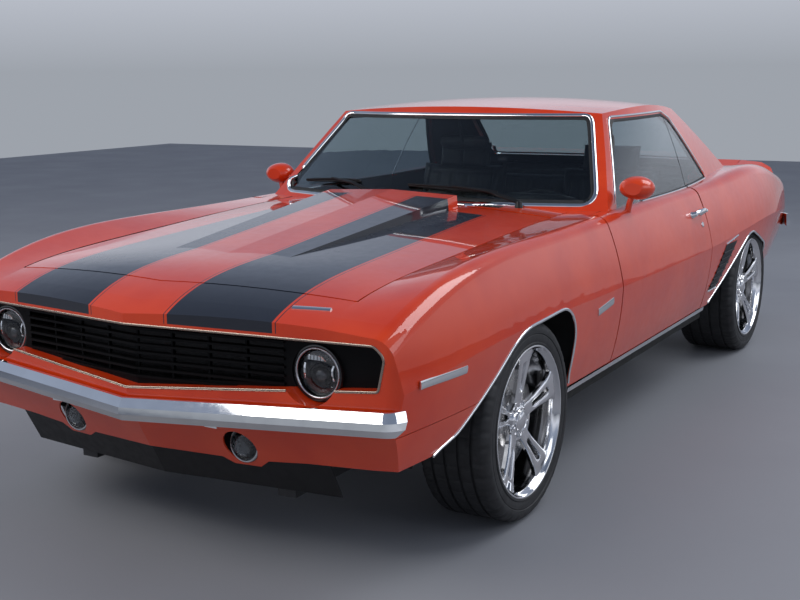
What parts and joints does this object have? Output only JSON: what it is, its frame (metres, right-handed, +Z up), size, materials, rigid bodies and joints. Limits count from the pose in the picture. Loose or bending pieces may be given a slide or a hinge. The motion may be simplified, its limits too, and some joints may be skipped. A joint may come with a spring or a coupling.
{
  "type": "two-door muscle car",
  "caption": "Two-door muscle car with striped long hood, V nose grille, fastback pillars, chrome bumpers and spoked chrome wheels; doors, hood, trunk and steering move.",
  "frame": {"origin": "on the ground at the middle of the car's length and width", "axes": "+Z up, +Y towards the tail, +X towards the car's left side"},
  "size_m": [1.8626, 4.7145, 1.3143],
  "materials": {
    "paint": "gloss",
    "underbody": "satin",
    "black_trim": "satin",
    "lamp_housing": "gloss",
    "clear_lens": "polished",
    "red_lens": "gloss",
    "chrome": "polished",
    "wheel_chrome": "polished",
    "glass": "polished",
    "bare_metal": "brushed",
    "black_metal": "satin",
    "cast_metal": "cast",
    "interior": "matte",
    "leather": "satin",
    "tyre": "matte"
  },
  "bodies": {
    "body": {"floor_pan": "underbody", "wheelhouses": "underbody", "front_fenders": "paint", "quarter_panels": "paint", "roof": "paint", "cowl_panel": "paint", "nose_panel": "paint", "front_valance": "paint", "tail_panel": "paint", "grille": "black_trim", "front_lamps": "lamp_housing", "lamp_lenses": "clear_lens", "front_bumper": "chrome", "rear_bumper": "chrome", "tail_lamps": "red_lens", "air_dam": "black_trim", "rocker_mouldings": "chrome", "fixed_glass": "glass", "wipers": "bare_metal", "front_subframe": "black_metal", "rear_axle": "black_metal", "drivetrain": "cast_metal", "exhaust": "bare_metal", "fuel_tank": "bare_metal", "dashboard": "interior", "front_seats": "leather", "rear_seat": "leather", "hinge_brackets": "black_metal", "spoiler_caps": "paint"},
    "hood": {"hood": "paint"},
    "trunk_lid": {"trunk_lid": "paint", "spoiler": "paint"},
    "door_left": {"door_left": "paint", "door_glass_left": "glass", "mirror_left": "paint"},
    "door_right": {"door_right": "paint", "door_glass_right": "glass", "mirror_right": "paint"},
    "knuckle_left": {"knuckle_left": "cast_metal"},
    "knuckle_right": {"knuckle_right": "cast_metal"},
    "wheel_fl": {"tyre_fl": "tyre", "rim_fl": "wheel_chrome"},
    "wheel_fr": {"tyre_fr": "tyre", "rim_fr": "wheel_chrome"},
    "wheel_rl": {"tyre_rl": "tyre", "rim_rl": "wheel_chrome"},
    "wheel_rr": {"tyre_rr": "tyre", "rim_rr": "wheel_chrome"},
    "steering_wheel": {"steering_wheel": "interior"}
  },
  "joints": [
    {"name": "hood_hinge", "type": "hinge", "parent": "body", "child": "hood", "pos_m": [0, -0.735, 0.875], "axis": [-1, 0, 0], "range_deg": [0, 48]},
    {"name": "trunk_hinge", "type": "hinge", "parent": "body", "child": "trunk_lid", "pos_m": [0, 1.452, 0.89], "axis": [1, 0, 0], "range_deg": [0, 60]},
    {"name": "door_left_hinge", "type": "hinge", "parent": "body", "child": "door_left", "pos_m": [0.872, -0.682, 0.6], "axis": [0, 0, -1], "range_deg": [0, 64]},
    {"name": "door_right_hinge", "type": "hinge", "parent": "body", "child": "door_right", "pos_m": [-0.872, -0.682, 0.6], "axis": [0, 0, 1], "range_deg": [0, 64]},
    {"name": "steer_left", "type": "hinge", "parent": "body", "child": "knuckle_left", "pos_m": [0.74, -1.427, 0.328], "axis": [0, 0, 1], "range_deg": [-30, 30]},
    {"name": "steer_right", "type": "hinge", "parent": "body", "child": "knuckle_right", "pos_m": [-0.74, -1.427, 0.328], "axis": [0, 0, 1], "range_deg": [-30, 30]},
    {"name": "spin_fl", "type": "hinge", "parent": "knuckle_left", "child": "wheel_fl", "pos_m": [0.905, -1.427, 0.328], "axis": [1, 0, 0], "continuous": true},
    {"name": "spin_fr", "type": "hinge", "parent": "knuckle_right", "child": "wheel_fr", "pos_m": [-0.905, -1.427, 0.328], "axis": [1, 0, 0], "continuous": true},
    {"name": "spin_rl", "type": "hinge", "parent": "body", "child": "wheel_rl", "pos_m": [0.905, 1.316, 0.328], "axis": [1, 0, 0], "continuous": true},
    {"name": "spin_rr", "type": "hinge", "parent": "body", "child": "wheel_rr", "pos_m": [-0.905, 1.316, 0.328], "axis": [1, 0, 0], "continuous": true},
    {"name": "steering_wheel_spin", "type": "hinge", "parent": "body", "child": "steering_wheel", "pos_m": [0.385, -0.095, 0.77], "axis": [0, 0.9135, 0.4067], "range_deg": [-480, 480]}
  ],
  "couplings": [
    {"joint": "steer_right", "follows": "steer_left", "ratio": 1},
    {"joint": "steering_wheel_spin", "follows": "steer_left", "ratio": 16}
  ]
}
